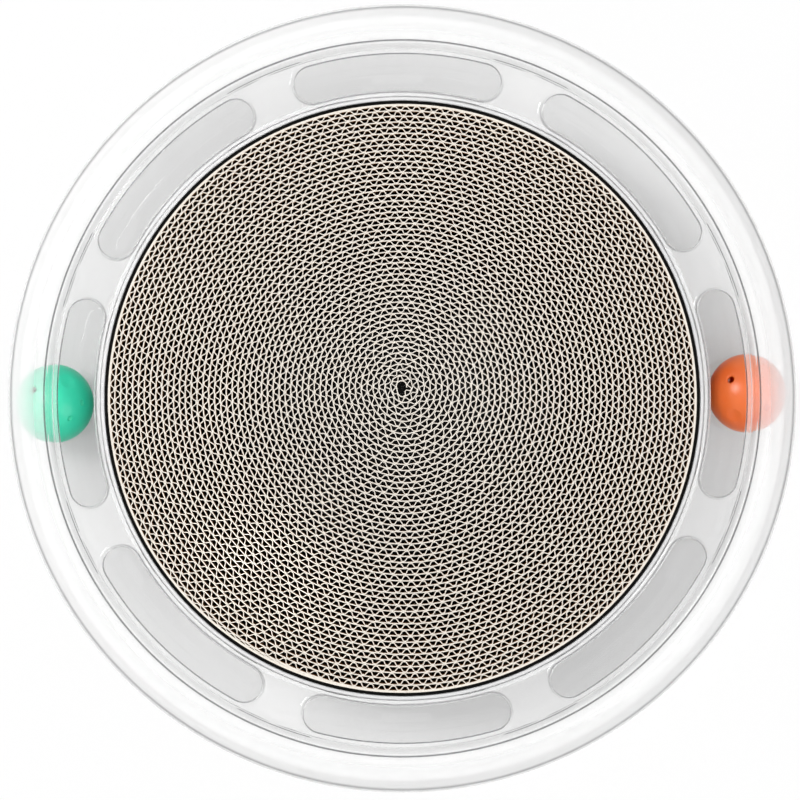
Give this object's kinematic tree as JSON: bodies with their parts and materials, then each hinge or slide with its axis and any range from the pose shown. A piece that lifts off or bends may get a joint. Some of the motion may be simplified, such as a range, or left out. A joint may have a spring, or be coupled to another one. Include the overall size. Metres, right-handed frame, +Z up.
{
  "type": "cat scratcher",
  "caption": "Round floor cat scratcher: a wound corrugated cardboard pad in a clear plastic tray, ringed by a covered ball track with curved paw slots.",
  "frame": {"origin": "on the pad's axis, at the ground under the grip feet", "axes": "+Z up; +X towards the orange ball at rest, -X towards the green one"},
  "size_m": [0.4, 0.4, 0.05],
  "materials": {
    "clear_shell": "clear, smooth, glossy moulded plastic",
    "cardboard": "wound single-face corrugated board, pale cut edges",
    "black_paper": "matt black paper band",
    "green_plastic": "satin moulded plastic",
    "orange_plastic": "satin moulded plastic",
    "bell_brass": "thin pressed brass",
    "pellet_steel": "plain steel",
    "rubber": "matt rubber"
  },
  "bodies": {
    "base": {"base_tray": "clear_shell", "grip_foot_1": "rubber", "grip_foot_2": "rubber", "grip_foot_3": "rubber", "grip_foot_4": "rubber", "grip_foot_5": "rubber", "grip_foot_6": "rubber"},
    "cover": {"track_cover": "clear_shell"},
    "pad": {"corrugated_roll": "cardboard", "pad_wrap": "black_paper"},
    "green_bell_set": {"green_bell": "bell_brass", "green_bell_pellet": "pellet_steel"},
    "green_ball": {"green_ball_upper_half": "green_plastic", "green_ball_lower_half": "green_plastic"},
    "orange_bell_set": {"orange_bell": "bell_brass", "orange_bell_pellet": "pellet_steel"},
    "orange_ball": {"orange_ball_upper_half": "orange_plastic", "orange_ball_lower_half": "orange_plastic"}
  },
  "joints": [
    {"name": "cover_lift", "type": "slide", "parent": "base", "child": "cover", "axis": [0, 0, 1], "range_m": [0, 0.05]},
    {"name": "pad_lift", "type": "slide", "parent": "base", "child": "pad", "axis": [0, 0, 1], "range_m": [0, 0.06]},
    {"name": "green_ball_orbit", "type": "hinge", "parent": "base", "child": "green_bell_set", "pos_m": [0, 0, 0.0247], "axis": [0, 0, 1], "range_deg": [-83, 83]},
    {"name": "green_ball_roll", "type": "hinge", "parent": "green_bell_set", "child": "green_ball", "pos_m": [-0.177, 0, 0.0247], "axis": [-1, 0, 0], "continuous": true},
    {"name": "orange_ball_orbit", "type": "hinge", "parent": "base", "child": "orange_bell_set", "pos_m": [0, 0, 0.0247], "axis": [0, 0, 1], "range_deg": [-83, 83]},
    {"name": "orange_ball_roll", "type": "hinge", "parent": "orange_bell_set", "child": "orange_ball", "pos_m": [0.1755, 0, 0.0247], "axis": [1, 0, 0], "continuous": true}
  ],
  "couplings": [
    {"joint": "green_ball_roll", "follows": "green_ball_orbit", "ratio": -8.85},
    {"joint": "orange_ball_roll", "follows": "orange_ball_orbit", "ratio": -8.775}
  ]
}
